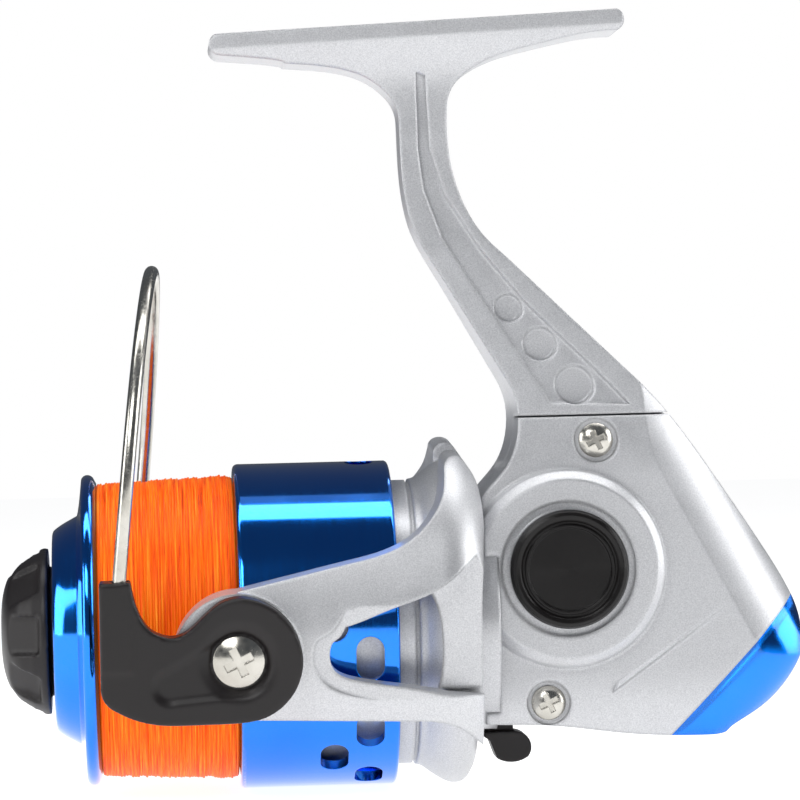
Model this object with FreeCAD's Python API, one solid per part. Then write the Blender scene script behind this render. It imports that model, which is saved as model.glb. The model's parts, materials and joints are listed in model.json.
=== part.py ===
import FreeCAD, Part
import math
import os

# Fixed-spool (spinning) fishing reel. Units are millimetres.
# Origin: middle of the foot's top face, where the rod seat touches.
# +X points to the rear, +Y to the handle side, +Z up towards the rod.

V = FreeCAD.Vector
X_AXIS = V(1, 0, 0)
Y_AXIS = V(0, 1, 0)
Z_AXIS = V(0, 0, 1)

# ---- driving dimensions ----
FOOT_TILT = 2.5            # foot face against the spool axis, degrees
FOOT_HALF_LENGTH = 30.2
FOOT_HALF_WIDTH = 6.2
SPOOL_Z = -90.0            # spool axis, along X
CRANK_X = 20.0             # crank axis, along Y
CRANK_Z = -82.2
BODY_HALF_WIDTH = 11.0
BODY_FRONT_X = 7.6         # flat front of the gearbox, behind the rotor
CAVITY_HALF_WIDTH = 9.2
SPLIT_Y = -2.5             # plane where the side cover meets the frame
SEAM_Z = -59.4             # top seam of the side cover
SEAM_GAP = 0.3
NOSE_R = 17.0              # round front of the gearbox, inside the rotor
NOSE_CAVITY_R = 14.6
NOSE_FRONT_X = 3.0
BOSS_R = 14.5              # round boss about the crank axis
BOSS_FACE_Y = 14.0
BUSH_IN_R = 3.26
BUSH_OUT_R = 6.0
HUB_R = 3.2                # drive gear's hollow shaft
GEAR_R = 11.9              # drive gear's rim
SHAFT_R = 2.0              # main shaft
BEARING_R = 7.0
ROTOR_TURN = 5.7           # rotor's rest turn about the spool axis, degrees
PIVOT_X = -29.5            # bail pivot
ARM_OUT_R = 30.0
ARM_IN_R = 26.3
ROTOR_REAR_X = 6.1
SKIRT_R = 24.35
SKIRT_IN_R = 22.8
HOLE_R = 2.05              # oval lightening holes of the spool skirt
HOLES_PER_GROUP = 5
HOLE_FIRST = -18.5         # angle of a group's first hole, below the side
HOLE_STEP = 28.0
HOLE_REAR_X = -10.2
HOLE_FRONT_X = -15.4
RATIO_GEAR = 46            # drive gear teeth
RATIO_PINION = 9           # pinion teeth
AXIAL_PITCH = 1.62         # pinion teeth spacing along X
PINION_PHASE = math.radians(-34.5)   # brings pinion and drive gear into mesh
OSC_TEETH = 30
HUB_TEETH = 13
OSC_X = 32.0               # oscillation gear axis
OSC_Z = -86.0
OSC_PIN_R = 6.5
SLIDER_X = 34.0
ROD_Z = -76.0
LEVER_Z = -102.0           # anti-reverse lever axis
HANDLE_LENGTH = 45.0
HANDLE_Y = 40.5
KNOB_Y = 43.7              # inner face of the handle knob
KNOB_PANELS = 8            # finger recesses round the drag knob
ROLLER_X = -43.2           # line roller axis, about the spool axis
ROLLER_Z = -3.0
WIRE_R = 1.0
WIRE_LEG = 16.0            # straight leg of the bail wire below its arch
WIRE_LEAN = 0.1            # forward lean of the legs at the foot, per unit of height
WIRE_FOOT = V(-46.8, -32.25, 5.5)    # wire ends, with z from the spool axis
WIRE_FAR = V(-43.9, 32.25, 5.5)

SPOOL_AXIS_POINT = V(0, 0, SPOOL_Z)
COVER_SCREWS = ((24.9, -63.3), (16.9, -102.2))
TILT = math.radians(FOOT_TILT)


# ---- helpers ----
def tilted(along, up):
    """Point on the foot's own axes, as (x, z)."""
    x = along * math.cos(TILT) - up * math.sin(TILT)
    z = along * math.sin(TILT) + up * math.cos(TILT)
    return (x, z)


def wire_through(start, steps, place):
    """Closed wire in a plane. Each step is ('line', points...), ('arc', middle, end)
    or ('curve', first_direction, last_direction, points...)."""
    current = start
    edges = []
    for step in steps:
        kind = step[0]
        if kind == "line":
            for point in step[1:]:
                edges.append(Part.LineSegment(place(current), place(point)).toShape())
                current = point
        elif kind == "arc":
            arc = Part.Arc(place(current), place(step[1]), place(step[2]))
            edges.append(arc.toShape())
            current = step[2]
        else:
            points = [place(current)] + [place(point) for point in step[3:]]
            origin = place((0, 0))
            spline = Part.BSplineCurve()
            first = (place(step[1]) - origin).normalize()
            last = (place(step[2]) - origin).normalize()
            spline.interpolate(Points=points, InitialTangent=first, FinalTangent=last)
            edges.append(spline.toShape())
            current = step[-1]
    if (place(current) - place(start)).Length > 1e-6:
        edges.append(Part.LineSegment(place(current), place(start)).toShape())
    return Part.Wire(edges)


def side_prism(start, steps, y_low, y_high):
    """Outline in the XZ plane, extruded from y_low to y_high."""
    wire = wire_through(start, steps, lambda p: V(p[0], y_low, p[1]))
    return Part.Face(wire).extrude(V(0, y_high - y_low, 0))


def polygon_prism(points, y_low, y_high):
    return side_prism(points[0], [("line",) + tuple(points[1:])], y_low, y_high)


def cylinder(radius, start, direction, length):
    return Part.makeCylinder(radius, length, start, direction)


def along_x(radius, x_low, x_high, y=0.0, z=SPOOL_Z):
    return cylinder(radius, V(x_low, y, z), X_AXIS, x_high - x_low)


def along_y(radius, y_low, y_high, x=CRANK_X, z=CRANK_Z):
    return cylinder(radius, V(x, y_low, z), Y_AXIS, y_high - y_low)


def ring_x(outer, inner, x_low, x_high, y=0.0, z=SPOOL_Z):
    return along_x(outer, x_low, x_high, y, z).cut(along_x(inner, x_low, x_high, y, z))


def ring_y(outer, inner, y_low, y_high, x=CRANK_X, z=CRANK_Z):
    return along_y(outer, y_low, y_high, x, z).cut(along_y(inner, y_low, y_high, x, z))


def box(x_low, x_high, y_low, y_high, z_low, z_high):
    corner = V(x_low, y_low, z_low)
    return Part.makeBox(x_high - x_low, y_high - y_low, z_high - z_low, corner)


def revolved_x(start, steps):
    """Half section (x, radius) turned about the spool axis."""
    wire = wire_through(start, steps, lambda p: V(p[0], 0, SPOOL_Z + p[1]))
    return Part.Face(wire).revolve(SPOOL_AXIS_POINT, X_AXIS, 360)


def revolved_y(points, x=CRANK_X, z=CRANK_Z):
    """Half section (y, radius) turned about a line along Y."""
    wire = wire_through(points[0], [("line",) + tuple(points[1:])], lambda p: V(x + p[1], p[0], z))
    return Part.Face(wire).revolve(V(x, 0, z), Y_AXIS, 360)


def about_spool(shape, degrees):
    turned = shape.copy()
    turned.rotate(SPOOL_AXIS_POINT, X_AXIS, degrees)
    return turned


def with_rotor(shape):
    return about_spool(shape, ROTOR_TURN)


def mirrored_y(shape):
    return shape.mirror(V(0, 0, 0), Y_AXIS)


def cross_recess(point, outward, size, depth):
    """Phillips recess: two crossed slots, sunk against the outward direction."""
    slots = None
    for turn in (0, 90):
        slot = Part.makeBox(size, size * 0.28, depth, V(-size / 2, -size * 0.14, -depth))
        slot.rotate(V(0, 0, 0), Z_AXIS, turn + 25)
        slots = slot if slots is None else slots.fuse(slot)
    slots.Placement = FreeCAD.Placement(point, FreeCAD.Rotation(Z_AXIS, outward))
    return slots


def pan_screw(point, outward, head_r, head_h, shank_r, shank_length):
    """Pan-head screw whose head sits on point and stands out along outward."""
    dome_r = (head_r ** 2 + head_h ** 2) / (2 * head_h)
    head = cylinder(head_r, V(0, 0, 0), Z_AXIS, head_h)
    head = head.common(Part.makeSphere(dome_r * 1.25, V(0, 0, head_h - dome_r * 1.25)))
    shank = cylinder(shank_r, V(0, 0, -shank_length), Z_AXIS, shank_length)
    screw = head.fuse(shank).removeSplitter()
    screw.Placement = FreeCAD.Placement(point, FreeCAD.Rotation(Z_AXIS, outward))
    top = point + outward * head_h
    return screw.cut(cross_recess(top, outward, head_r * 1.15, head_h * 0.6))


def spur_gear(teeth, pitch_r, tip_r, root_r, y_low, y_high, x, z, phase):
    """Plain spur gear along Y with narrow trapezoid teeth."""
    points = []
    step = 2 * math.pi / teeth
    for index in range(teeth):
        middle = phase + index * step
        for radius, share in ((root_r, -0.24), (tip_r, -0.11), (tip_r, 0.11), (root_r, 0.24)):
            angle = middle + share * step
            points.append((x + radius * math.cos(angle), z + radius * math.sin(angle)))
    return polygon_prism(points, y_low, y_high)


# ---- gearbox casting, its cover and rear cap ----
def casting_outline():
    """Side view of foot, stem and gearbox."""
    stem_rear = (4.4, -13.0)
    return tilted(-FOOT_HALF_LENGTH, 0), [
        ("line", tilted(FOOT_HALF_LENGTH, 0)),
        ("arc", tilted(31.2, -1.7), tilted(30.0, -3.2)),
        ("curve", (-1, 0.02), (-0.05, -1), tilted(18.5, -4.4), tilted(11.5, -5.9), (5.9, -9.0), stem_rear),
        ("curve", (-0.05, -1), (0.7, -0.714), (5.0, -22.4), (9.4, -32.2), (13.9, -36.7)),
        ("line", (32.5, -55.4)),
        ("curve", (0.7, -0.714), (0.4, -0.917), (43.2, -69.2), (50.6, -80.2), (54.7, -87.4)),
        ("curve", (0.4, -0.917), (-1, 0.02), (55.7, -91.8), (55.3, -95.9), (53.2, -100.2), (49.2, -104.0),
         (44.4, -106.7), (38.0, -107.7)),
        ("curve", (-1, 0.02), (-1, 0.03), (27.7, -107.0), (14.0, -105.4)),
        ("line", (BODY_FRONT_X, -105.2), (BODY_FRONT_X, -71.4)),
        ("curve", (0.55, 0.8), (-0.5, 0.86), (11.7, -66.4), (13.4, -60.3), (11.7, -53.6)),
        ("line", (3.2, -39.0)),
        ("curve", (-0.5, 0.86), (-0.02, 1), (-1.2, -30.8), (-2.7, -22.0), (-2.9, -14.5)),
        ("curve", (-0.05, 1), (-1, 0.08), (-5.0, -10.2), (-9.5, -7.4), tilted(-20.0, -5.0), tilted(-30.0, -3.2)),
        ("arc", tilted(-31.2, -1.7), tilted(-FOOT_HALF_LENGTH, 0)),
    ]


def width_prism(inset):
    """Front view: narrow stem, wide gearbox. inset thins it evenly."""
    right = [
        ("line", (FOOT_HALF_WIDTH - inset, -2.2)),
        ("curve", (-0.25, -1), (0.05, -1), (4.6 - inset, -7.0), (4.1 - inset, -15.0), (4.3 - inset, -27.0)),
        ("curve", (0.05, -1), (0, -1), (6.4 - inset, -43.0), (9.3 - inset, -57.0),
         (BODY_HALF_WIDTH - inset, -70.0)),
        ("line", (BODY_HALF_WIDTH - inset, -99.0)),
        ("curve", (0, -1), (-0.4, -1), (10.4 - inset, -106.0), (9.4 - inset, -109.5)),
    ]
    half = wire_through((0, 4.0), [("line", (FOOT_HALF_WIDTH - inset, 4.0))] + right
                        + [("line", (0, -109.5))], lambda p: V(-70, p[0], p[1]))
    side = Part.Face(half).extrude(V(150, 0, 0))
    side.rotate(V(0, 0, 0), Y_AXIS, -FOOT_TILT)
    return side.fuse(mirrored_y(side)).removeSplitter()


def half_ellipse_prism(origin, along, outward, reach, half_width, back):
    """Long bar with a half-elliptic front, to round an edge of the casting."""
    length = 240
    start = origin - along * (length / 2)
    low = V(0, -half_width, 0)
    high = V(0, half_width, 0)
    wall_low = Part.LineSegment(start - outward * back + low, start + low).toShape()
    wall_high = Part.LineSegment(start + high, start - outward * back + high).toShape()
    back_edge = Part.LineSegment(start - outward * back + high, start - outward * back + low).toShape()
    if reach >= half_width:
        ellipse = Part.Ellipse(start + outward * reach, start + high, start)
    else:
        ellipse = Part.Ellipse(start + high, start + outward * reach, start)
    ends = sorted((ellipse.parameter(start + low), ellipse.parameter(start + high)))
    middle = ellipse.parameter(start + outward * reach)
    if not ends[0] < middle < ends[1]:
        ends = [ends[1], ends[0] + 2 * math.pi]
    nose = Part.ArcOfEllipse(ellipse, ends[0], ends[1]).toShape()
    wire = Part.Wire(Part.__sortEdges__([wall_low, nose, wall_high, back_edge]))
    return Part.Face(wire).extrude(along * length)


def rear_rounding(inset):
    upper_out = V(0.884, 0, 0.468)
    lower_out = V(0.718, 0, -0.696)
    upper = half_ellipse_prism(V(32.2, 0, -65.3) - upper_out * 7.0, V(0.468, 0, -0.884), upper_out,
                               17.4 - inset, 12.3 - inset, 120)
    lower = half_ellipse_prism(V(45.0, 0, -97.4) - lower_out, V(-0.696, 0, -0.718), lower_out,
                               10.6 - inset, 11.3 - inset, 150)
    return upper.common(lower)


def casting_shape():
    """Outside of foot, stem and gearbox as one solid."""
    start, steps = casting_outline()
    plan = side_prism(start, steps, -20, 20)
    shape = plan.common(width_prism(0))
    upper = shape.common(box(-80, 80, -30, 30, -45, 10))
    lower = shape.common(box(-80, 80, -30, 30, -130, -45)).common(rear_rounding(0))
    shape = upper.fuse(lower)
    nose = along_x(NOSE_R, NOSE_FRONT_X, 9.5)
    boss = revolved_y([(-BOSS_FACE_Y, 0), (-BOSS_FACE_Y, BOSS_R - 1.2), (-BOSS_FACE_Y + 1.2, BOSS_R),
                       (-9.5, BOSS_R + 0.6), (9.5, BOSS_R + 0.6), (BOSS_FACE_Y - 1.2, BOSS_R),
                       (BOSS_FACE_Y, BOSS_R - 1.2), (BOSS_FACE_Y, 0)])
    boss = boss.cut(box(-20, BODY_FRONT_X, -30, 30, -120, -40))
    lever_notch = box(7.4, 10.0, -5.0, 5.0, -108, -105.45)
    return shape.fuse(nose.cut(lever_notch)).fuse(boss).removeSplitter()


def cavity_shape():
    """Inside of the gearbox."""
    room = polygon_prism([(9.8, -103.2), (9.8, -69.0), (15.4, -61.9), (31.5, -61.9), (40.0, -71.6),
                          (49.4, -87.2), (35.2, -103.6), (30.0, -103.6)],
                         -CAVITY_HALF_WIDTH, CAVITY_HALF_WIDTH)
    room = room.common(rear_rounding(1.8))
    nose = along_x(NOSE_CAVITY_R, NOSE_FRONT_X + 1.8, 12.0)
    nose = nose.common(box(0, 20, -CAVITY_HALF_WIDTH, CAVITY_HALF_WIDTH, -120, -50))
    gear_relief = along_y(GEAR_R + 0.4, -9.1, -3.0)
    return room.fuse(nose).fuse(gear_relief)


def rear_cap_region():
    """Everything behind the slanted seam of the rear cap."""
    return polygon_prism([(54.9, -87.0), (35.0, -107.9), (35.0, -125.0), (75.0, -125.0), (75.0, -87.0)],
                         -30, 30)


def cover_region(gap):
    """Space that the side cover takes from the casting, less a gap along its top seam."""
    region = box(BODY_FRONT_X, 80, -40, SPLIT_Y, -130, SEAM_Z - gap)
    return region.cut(along_x(NOSE_R + 0.1, 0, 9.6))


def stem_panels():
    """Shallow recess on both sides of the stem, between two ridges."""
    outline = [(-0.2, -7.5), (1.2, -8.0), (1.6, -19.0), (3.7, -26.0), (8.9, -34.4), (15.4, -42.6),
               (24.8, -52.2), (30.2, -58.0), (18.4, -57.6), (13.6, -49.7), (8.6, -41.6),
               (3.1, -32.4), (0.6, -25.1), (-0.1, -19.0)]
    panel = polygon_prism(outline, -20, 20)
    return panel.cut(width_prism(0.8))


def stem_dimples():
    dimples = []
    for x, z, radius, depth_y in ((12.7, -43.2, 2.1, 4.9), (17.2, -48.7, 2.5, 6.0), (22.1, -55.0, 2.9, 7.3)):
        for side in (-1, 1):
            dimples.append(cylinder(radius, V(x, side * depth_y, z), V(0, side, 0), 10))
    return dimples


def cover_recesses():
    """Ring groove round the cap on the cover, and seats of the two cover screws."""
    tools = [ring_y(10.0, 8.6, -BOSS_FACE_Y - 1, -BOSS_FACE_Y + 0.8)]
    for x, z in COVER_SCREWS:
        tools.append(cylinder(3.3, V(x, -15, z), Y_AXIS, 5.2))
        tools.append(cylinder(1.3, V(x, -15, z), Y_AXIS, 15))
    return tools


def gearbox_parts():
    outer = casting_shape()
    cavity = cavity_shape()
    cap_region = rear_cap_region()
    shell = outer.cut(cavity)
    bores = [along_y(BUSH_OUT_R, -13.0, 13.0), along_y(3.6, -20, 20), along_y(5.4, -20, -12.9)]

    posts = []
    for x, z in COVER_SCREWS:
        posts.append(cylinder(2.6, V(x, SPLIT_Y + 0.02, z), Y_AXIS, 9.4 - SPLIT_Y))
    axle_boss = along_y(3.4, 7.4, 9.6, OSC_X, OSC_Z)
    bearing_boss = along_x(BEARING_R + 1.6, NOSE_FRONT_X, 8.2)
    lever_boss = along_x(2.9, NOSE_FRONT_X + 1, 8.6, 0, LEVER_Z)
    rod_front = along_x(2.4, NOSE_FRONT_X + 1, 7.0, 0, ROD_Z)

    frame = shell.cut(cover_region(0)).cut(cap_region)
    for post in posts + [axle_boss, bearing_boss, lever_boss, rod_front]:
        frame = frame.fuse(post)
    cuts = bores + [along_x(BEARING_R, 3.4, 9.0), along_x(4.4, 0, 5.0),
                    along_x(1.2, 5.2, 44.5, 0, ROD_Z), along_x(1.46, 0, 13.0, 0, LEVER_Z),
                    along_y(1.6, 7.0, 10.2, OSC_X, OSC_Z), lever_slot(),
                    cylinder(1.0, V(1, 10.0, -99.5), X_AXIS, 3.6)]
    for x, z in COVER_SCREWS:
        cuts.append(cylinder(0.9, V(x, -8, z), Y_AXIS, 14.5))
    cuts.append(cylinder(0.9, V(39.5, 0, -107), Z_AXIS, 12))
    for cut in cuts + [stem_panels()] + stem_dimples():
        frame = frame.cut(cut)

    cover = shell.common(cover_region(SEAM_GAP)).cut(cap_region)
    cover = cover.cut(axle_boss)
    for cut in bores + cover_recesses() + [bearing_boss, lever_slot(), along_x(3.0, 0, 9.7, 0, LEVER_Z)]:
        cover = cover.cut(cut)
    cover = cover.fuse(cover_ridge())

    cap = outer.common(cap_region)
    return frame.removeSplitter(), cover.removeSplitter(), cap


def lever_slot():
    """Slot in the floor of the gearbox for the anti-reverse lever's neck."""
    return box(8.9, 13.2, -2.9, 3.4, -108, -101.8).fuse(box(7.4, 9.2, -2.9, 3.4, -108, -104.4))


def cover_ridge():
    """Tapered ridge on the cover in front of the rear cap; its face slopes up to the boss."""
    corners = [(26.4, -100.9), (44.6, -87.9), (27.3, -99.2)]
    heights = [-11.75, -11.02, -11.02]
    inner = [V(x, -10.4, z) for x, z in corners]
    outer = [V(x, y, z) for (x, z), y in zip(corners, heights)]
    faces = [inner, outer]
    for k in range(3):
        after = (k + 1) % 3
        faces.append([inner[k], inner[after], outer[after], outer[k]])
    shell = Part.makeShell([Part.Face(Part.makePolygon(face + [face[0]])) for face in faces])
    ridge = Part.makeSolid(shell)
    if ridge.Volume < 0:
        ridge.reverse()
    return ridge


def cap_with_pocket(cap):
    """Rear cap, hollowed from its seam side."""
    pocket = box(-9.0, 9.0, -6.5, 6.5, -4.0, 1.0)
    pocket.Placement = FreeCAD.Placement(V(45.4, 0, -97.6), FreeCAD.Rotation(Y_AXIS, -46.4 + 180))
    screw_post = cylinder(2.4, V(39.5, 0, -112), Z_AXIS, 20).common(cap)
    hollow = cap.cut(pocket).fuse(screw_post)
    hollow = hollow.cut(cylinder(2.3, V(39.5, 0, -112), Z_AXIS, 5.7))
    return hollow.cut(cylinder(1.3, V(39.5, 0, -112), Z_AXIS, 20)).removeSplitter()


def cover_screw_group():
    screws = []
    for x, z in COVER_SCREWS:
        screws.append(pan_screw(V(x, -9.8, z), V(0, -1, 0), 2.55, 1.5, 0.9, 15.5))
    return Part.makeCompound(screws)


# ---- drive train ----
def drive_gear():
    """Face gear on a hollow shaft, with the small gear that drives the oscillation gear."""
    disc = revolved_y([(-8.6, HUB_R), (-8.6, GEAR_R), (-5.7, GEAR_R), (-5.7, 9.0), (-6.6, 8.4),
                       (-6.6, HUB_R)])
    shaft = along_y(HUB_R, -12.6, 12.6)
    gear = disc.fuse(shaft)
    gear = gear.fuse(spur_gear(HUB_TEETH, 3.8, 4.3, 3.25, 5.1, 6.9, CRANK_X, CRANK_Z, 0.0))
    teeth = [face_tooth(index) for index in range(RATIO_GEAR)]
    gear = gear.fuse(teeth)
    hexagon = [(CRANK_X + 2.3 * math.cos(math.radians(60 * k)),
                CRANK_Z + 2.3 * math.sin(math.radians(60 * k))) for k in range(6)]
    return gear.cut(polygon_prism(hexagon, -20, 20))


def tooth_angle(radius):
    """Angle of a face-gear tooth's middle line at a radius, to suit the pinion's helix."""
    offset = CRANK_Z - SPOOL_Z
    x = -math.sqrt(radius ** 2 - offset ** 2)
    alpha = math.atan2(-offset, x)
    return alpha - 2 * math.pi / RATIO_GEAR * x / AXIAL_PITCH


def face_tooth(index):
    """One rib of the face gear, standing towards +Y."""
    step = 2 * math.pi / RATIO_GEAR
    radii = (9.1, 10.4, 11.8)
    sections = []
    for radius in radii:
        middle = tooth_angle(radius) + index * step
        corners = []
        for y, half in ((-5.9, 0.30), (-3.75, 0.13)):
            corners.append((y, half))
            corners.insert(0, (y, -half))
        ordered = [corners[1], corners[0], corners[3], corners[2]]
        points = []
        for y, half in ordered:
            angle = middle + half / radius
            points.append(V(CRANK_X + radius * math.cos(angle), y, CRANK_Z + radius * math.sin(angle)))
        sections.append(Part.makePolygon(points + [points[0]]))
    return Part.makeLoft(sections, True, True)


def pinion():
    """Nine-tooth helical pinion; its sleeve carries the rotor and the ratchet."""
    lead = AXIAL_PITCH * RATIO_PINION
    start_x = 8.4
    end_x = 16.4
    count = 17
    sections = []
    for index in range(count):
        x = start_x + (end_x - start_x) * index / (count - 1)
        turn = 2 * math.pi * (x - CRANK_X) / lead + PINION_PHASE
        points = []
        step = 2 * math.pi / RATIO_PINION
        for tooth in range(RATIO_PINION):
            middle = turn + tooth * step
            for radius, share in ((3.1, -0.20), (4.6, -0.10), (4.6, 0.10), (3.1, 0.20)):
                angle = middle + share * step
                points.append(V(x, radius * math.sin(angle), SPOOL_Z + radius * math.cos(angle)))
        sections.append(Part.makePolygon(points + [points[0]]))
    teeth = Part.makeLoft(sections, True, True)
    sleeve = along_x(3.45, -6.5, start_x + 0.3)
    flange = along_x(4.3, 7.6, start_x + 0.1)
    body = teeth.fuse(sleeve).fuse(flange)
    return body.cut(along_x(SHAFT_R + 0.06, -10, 20))


def oscillation_gear():
    step = 2 * math.pi / OSC_TEETH
    toward_hub = math.atan2(CRANK_Z - OSC_Z, CRANK_X - OSC_X)
    hub_step = 2 * math.pi / HUB_TEETH
    hub_angle = toward_hub - math.pi
    lag = (hub_angle / hub_step) - math.floor(hub_angle / hub_step)
    phase = toward_hub + (0.5 + lag) * step
    gear = spur_gear(OSC_TEETH, 8.79, 9.25, 8.15, 5.1, 6.9, OSC_X, OSC_Z, phase)
    axle = along_y(1.54, 6.8, 9.7, OSC_X, OSC_Z)
    rest = math.acos((SLIDER_X - OSC_X) / OSC_PIN_R)
    pin = along_y(1.4, 3.9, 5.2, OSC_X + OSC_PIN_R * math.cos(rest), OSC_Z + OSC_PIN_R * math.sin(rest))
    return gear.fuse(axle).fuse(pin)


def slider():
    """Yoke on the end of the main shaft; the oscillation pin works in its slot."""
    plate = box(SLIDER_X - 2.0, SLIDER_X + 2.0, -3.0, 3.5, -94.4, -78.0)
    ear = box(SLIDER_X - 1.8, SLIDER_X + 1.8, -2.4, 2.4, -79, -73.6)
    slot = box(SLIDER_X - 1.5, SLIDER_X + 1.5, 2.1, 5.0, -93.9, -78.0)
    shape = plate.fuse(ear).cut(slot)
    shape = shape.cut(along_x(SHAFT_R, SLIDER_X - 3, SLIDER_X + 1.0))
    shape = shape.cut(along_x(1.26, 0, 60, 0, ROD_Z))
    return shape.cut(along_x(0.8, SLIDER_X, SLIDER_X + 3)).removeSplitter()


def main_shaft():
    shaft = along_x(SHAFT_R, -58.2, SLIDER_X + 1.0)
    flats = box(-58.2, -50, -3, -1.7, SPOOL_Z - 3, SPOOL_Z + 3)
    flats = flats.fuse(box(-58.2, -50, 1.7, 3, SPOOL_Z - 3, SPOOL_Z + 3))
    return shaft.cut(flats).cut(along_x(0.8, SLIDER_X - 4, SLIDER_X + 3))


def slider_screw():
    return pan_screw(V(SLIDER_X + 2.0, 0, SPOOL_Z), V(1, 0, 0), 1.9, 1.0, 0.8, 5.0)


def pinion_bearing():
    outer = ring_x(BEARING_R, 5.9, 3.4, 7.4)
    inner = ring_x(4.7, 3.5, 3.4, 7.4)
    shields = ring_x(5.9, 4.7, 3.7, 7.1)
    return outer.fuse(inner).fuse(shields).removeSplitter()


def gear_bush(side):
    low, high = sorted((side * 9.0, side * 13.0))
    return ring_y(BUSH_OUT_R, BUSH_IN_R, low, high)


def rotor_nut():
    points = [(6.0 * math.cos(math.radians(60 * k)), 6.0 * math.sin(math.radians(60 * k))) for k in range(6)]
    corners = [V(-7.0, y, SPOOL_Z + z) for y, z in points]
    nut = Part.Face(Part.makePolygon(corners + [corners[0]])).extrude(V(2.4, 0, 0))
    return nut.cut(along_x(3.5, -10, 0))


def ratchet():
    """Anti-reverse ratchet on the pinion sleeve, between the rotor and the nose."""
    points = []
    teeth = 12
    for index in range(teeth):
        angle = 2 * math.pi * index / teeth
        points.append((8.5 * math.cos(angle), 8.5 * math.sin(angle)))
        back = angle + 2 * math.pi / teeth * 0.92
        points.append((7.0 * math.cos(back), 7.0 * math.sin(back)))
    corners = [V(0.0, y, SPOOL_Z + z) for y, z in points]
    wheel = Part.Face(Part.makePolygon(corners + [corners[0]])).extrude(V(1.4, 0, 0))
    spacer = along_x(4.3, 1.3, 3.3).fuse(along_x(5.0, -0.5, 0.1))
    return wheel.fuse(spacer).cut(along_x(3.5, -1, 4)).removeSplitter()


# ---- anti-reverse ----
def anti_reverse_lever():
    shaft = along_x(1.4, 1.0, 12.6, 0, LEVER_Z)
    cam = along_x(2.0, 1.0, 2.6, 0, LEVER_Z)
    neck = box(9.3, 12.3, -1.4, 1.4, -107.4, LEVER_Z).fuse(box(7.9, 12.3, -1.4, 1.4, -107.4, -105.5))
    start = (7.7, -106.9)
    tab = side_prism(start, [
        ("line", (12.6, -106.9)),
        ("arc", (14.7, -108.4), (14.4, -110.7)),
        ("arc", (12.4, -111.5), (9.6, -110.9)),
        ("line", (8.6, -108.2), (7.7, -107.6)),
    ], -3.0, 3.0)
    return shaft.fuse(cam).fuse(neck).fuse(tab).removeSplitter()


def anti_reverse_pawl():
    """Pawl beside the ratchet, clear of its teeth while the anti-reverse is off."""
    outline = [(11.2, -98.6), (9.6, -98.0), (5.3, -97.5), (5.6, -99.0), (8.6, -100.8), (10.6, -100.8)]
    corners = [V(0.1, y, z) for y, z in outline]
    plate = Part.Face(Part.makePolygon(corners + [corners[0]])).extrude(V(1.3, 0, 0))
    pin = cylinder(0.97, V(0.1, 10.0, -99.5), X_AXIS, 4.3)
    collar = cylinder(1.5, V(1.3, 10.0, -99.5), X_AXIS, 1.5)
    return plate.fuse(pin).fuse(collar).removeSplitter()


# ---- rotor ----
def rotor_cup():
    """Cup and rear flange, turned about the spool axis."""
    return revolved_x((-21.8, 21.35), [
        ("line", (-3.3, 21.35), (-3.2, 20.9), (-2.8, 20.9), (-2.7, 21.5)),
        ("curve", (1, 0.1), (1, 0.0), (-0.6, 22.6), (1.4, 23.9), (3.2, 24.4)),
        ("curve", (1, 0.0), (0.05, -1), (4.8, 23.7), (5.7, 22.2), (ROTOR_REAR_X, 19.6)),
        ("line", (ROTOR_REAR_X, 18.0), (-0.6, 18.0), (-0.6, 3.5), (-4.6, 3.5), (-4.6, 8.0), (-3.0, 9.0),
         (-3.0, 19.6), (-21.8, 19.6)),
    ])


def arm_outline():
    """Side view of one arm: round end at the bail pivot, horn above, straight below."""
    end_r = 9.3
    return (PIVOT_X, end_r), [
        ("line", (-15.4, 12.3)),
        ("curve", (1, 0.22), (0.1, 1), (-6.8, 14.4), (-1.8, 17.6), (0.6, 20.8), (1.5, 24.6)),
        ("arc", (2.8, 26.4), (4.6, 25.6)),
        ("curve", (0.7, -0.8), (-0.1, -1), (6.4, 22.6), (7.0, 19.0), (6.5, 12.0)),
        ("curve", (-0.1, -1), (0, -1), (ROTOR_REAR_X, 4.0), (ROTOR_REAR_X, -8.0)),
        ("line", (ROTOR_REAR_X, -15.0)),
        ("curve", (-0.7, 0.7), (-1, 0.02), (2.6, -11.8), (-3.5, -10.3)),
        ("line", (PIVOT_X, -end_r)),
        ("arc", (PIVOT_X - end_r, 0), (PIVOT_X, end_r)),
    ]


def lifted(start, steps):
    """Outline given about the spool axis, moved to its height."""
    def lift(point):
        return (point[0], point[1] + SPOOL_Z)
    result = []
    for step in steps:
        if step[0] == "curve":
            result.append(step[:3] + tuple(lift(point) for point in step[3:]))
        else:
            result.append((step[0],) + tuple(lift(point) for point in step[1:]))
    return lift(start), result


def arm_shell():
    """Turned shell that both arms are cut from."""
    return revolved_x((-40.0, ARM_IN_R), [
        ("line", (-40.0, ARM_OUT_R), (0.5, ARM_OUT_R)),
        ("curve", (1, 0.0), (0.1, -1), (4.6, 28.6), (7.2, 24.4)),
        ("line", (7.2, 18.5), (3.0, 18.5), (1.5, 22.0)),
        ("curve", (-0.2, 1), (-1, 0.0), (0.0, 24.9), (-4.5, ARM_IN_R)),
    ])


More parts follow.
